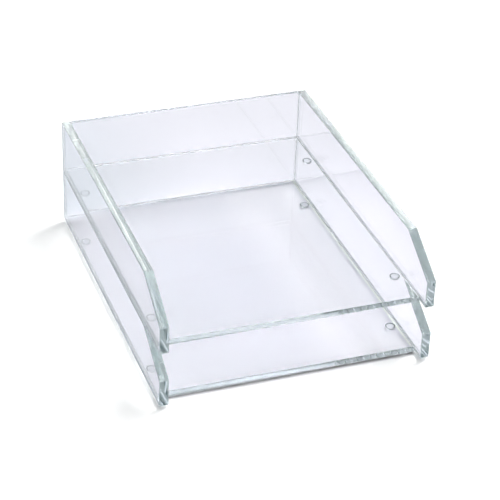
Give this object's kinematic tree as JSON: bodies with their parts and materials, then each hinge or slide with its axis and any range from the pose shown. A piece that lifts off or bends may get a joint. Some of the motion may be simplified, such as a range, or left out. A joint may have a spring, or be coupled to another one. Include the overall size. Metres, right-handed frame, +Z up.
{
  "type": "letter tray",
  "caption": "Stacked desk trays for letter paper in thick clear acrylic, open at the front, with sloped front corners and clear bumper feet; the upper tray lifts off.",
  "frame": {"origin": "on the desk, under the middle of the stack's bounding box", "axes": "+Z up, the open front faces -Y and the back panel is at +Y, +X to the right seen from the front"},
  "size_m": [0.2666, 0.343, 0.118],
  "materials": {
    "clear_acrylic": "polished",
    "clear_bumper": "gloss"
  },
  "bodies": {
    "lower_tray": {"lower_left_side": "clear_acrylic", "lower_right_side": "clear_acrylic", "lower_floor_panel": "clear_acrylic", "lower_back_panel": "clear_acrylic", "lower_foot_front_left": "clear_bumper", "lower_foot_front_right": "clear_bumper", "lower_foot_rear_left": "clear_bumper", "lower_foot_rear_right": "clear_bumper"},
    "upper_tray": {"upper_left_side": "clear_acrylic", "upper_right_side": "clear_acrylic", "upper_floor_panel": "clear_acrylic", "upper_back_panel": "clear_acrylic", "upper_foot_front_left": "clear_bumper", "upper_foot_front_right": "clear_bumper", "upper_foot_rear_left": "clear_bumper", "upper_foot_rear_right": "clear_bumper"}
  },
  "joints": [
    {"name": "upper_tray_lift", "type": "slide", "parent": "lower_tray", "child": "upper_tray", "axis": [0, 0, 1], "range_m": [0, 0.1]}
  ]
}
